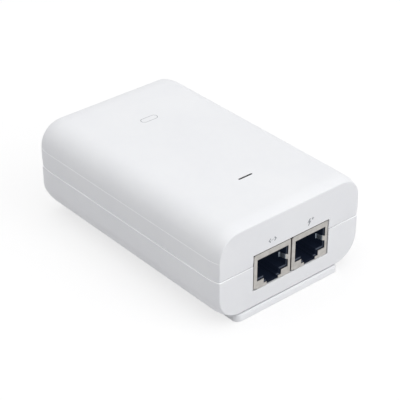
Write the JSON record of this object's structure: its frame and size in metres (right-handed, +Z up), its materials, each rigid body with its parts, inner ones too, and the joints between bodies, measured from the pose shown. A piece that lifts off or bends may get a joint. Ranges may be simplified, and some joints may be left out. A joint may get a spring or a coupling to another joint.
{
  "type": "poe injector",
  "caption": "White box with round long edges, shielded network sockets in front, a mains inlet behind, a light bar on top and a slide-off wall bracket below.",
  "frame": {"origin": "middle of the outline in plan, on the underside of the wall bracket", "axes": "+X to the right seen from the network sockets, +Y from the sockets to the mains inlet, +Z up"},
  "size_m": [0.063, 0.095, 0.036],
  "materials": {
    "white_shell": "fine-textured moulded white polycarbonate blend",
    "white_bracket": "moulded white plastic",
    "smoked_lens": "smoked polycarbonate, polished",
    "tin_shield": "tin-plated sheet, satin",
    "black_housing": "moulded black plastic",
    "gold_contact": "gold-plated spring wire",
    "nickel_pin": "nickel plated",
    "board_laminate": "glass-epoxy board with green solder mask",
    "insulating_film": "polyester film",
    "ceramic_tube": "ceramic tube with metal caps",
    "blue_coating": "dipped epoxy",
    "green_coating": "dipped silicone lacquer",
    "yellow_case": "yellow polyester case or tape",
    "ferrite": "sintered ferrite",
    "copper_wire": "enamelled copper wire",
    "black_epoxy": "moulded epoxy package",
    "dark_sleeve": "shrink sleeve over an aluminium can",
    "sink_aluminium": "sheared plate",
    "white_epoxy": "moulded epoxy package",
    "led_lens": "clear lens over a phosphor",
    "chip_ceramic": "sintered ceramic chips"
  },
  "bodies": {
    "injector": {"top_cover": "white_shell", "bottom_cover": "white_shell", "light_pipe": "smoked_lens", "jack_shield_left": "tin_shield", "jack_shield_right": "tin_shield", "jack_housing_left": "black_housing", "jack_housing_right": "black_housing", "jack_carrier_left": "black_housing", "jack_carrier_right": "black_housing", "jack_wires_left": "gold_contact", "jack_wires_right": "gold_contact", "inlet_housing": "black_housing", "inlet_line_pin": "nickel_pin", "inlet_neutral_pin": "nickel_pin", "inlet_earth_pin": "nickel_pin", "circuit_board": "board_laminate", "insulation_sheet": "insulating_film", "fuse": "ceramic_tube", "surge_varistor": "blue_coating", "inrush_thermistor": "green_coating", "x_capacitor": "yellow_case", "choke_core": "ferrite", "choke_windings": "copper_wire", "bridge_rectifier": "black_epoxy", "bulk_capacitor": "dark_sleeve", "primary_heatsink": "sink_aluminium", "switching_transistor": "black_epoxy", "transformer_core": "ferrite", "transformer_bobbin": "black_housing", "transformer_winding": "yellow_case", "y_capacitor": "blue_coating", "optocoupler": "white_epoxy", "controller_chip": "black_epoxy", "secondary_heatsink": "sink_aluminium", "output_rectifier": "black_epoxy", "transistor_pads": "insulating_film", "heatsink_screws": "nickel_pin", "output_capacitors": "dark_sleeve", "output_inductor": "ferrite", "line_magnetics": "black_epoxy", "power_chip": "black_epoxy", "status_led": "led_lens", "chip_parts": "chip_ceramic"},
    "bracket": {"wall_bracket": "white_bracket"},
    "contacts_left": {"jack_springs_left": "gold_contact"},
    "contacts_right": {"jack_springs_right": "gold_contact"}
  },
  "joints": [
    {"name": "bracket_slide", "type": "slide", "parent": "injector", "child": "bracket", "axis": [0, -1, 0], "range_m": [0, 0.005]},
    {"name": "contacts_left_flex", "type": "hinge", "parent": "injector", "child": "contacts_left", "pos_m": [-0.00795, -0.044, 0.02095], "axis": [1, 0, 0], "range_deg": [0, 9], "stiffness_Nm_per_rad": 0.35},
    {"name": "contacts_right_flex", "type": "hinge", "parent": "injector", "child": "contacts_right", "pos_m": [0.00865, -0.044, 0.02095], "axis": [1, 0, 0], "range_deg": [0, 9], "stiffness_Nm_per_rad": 0.35}
  ]
}
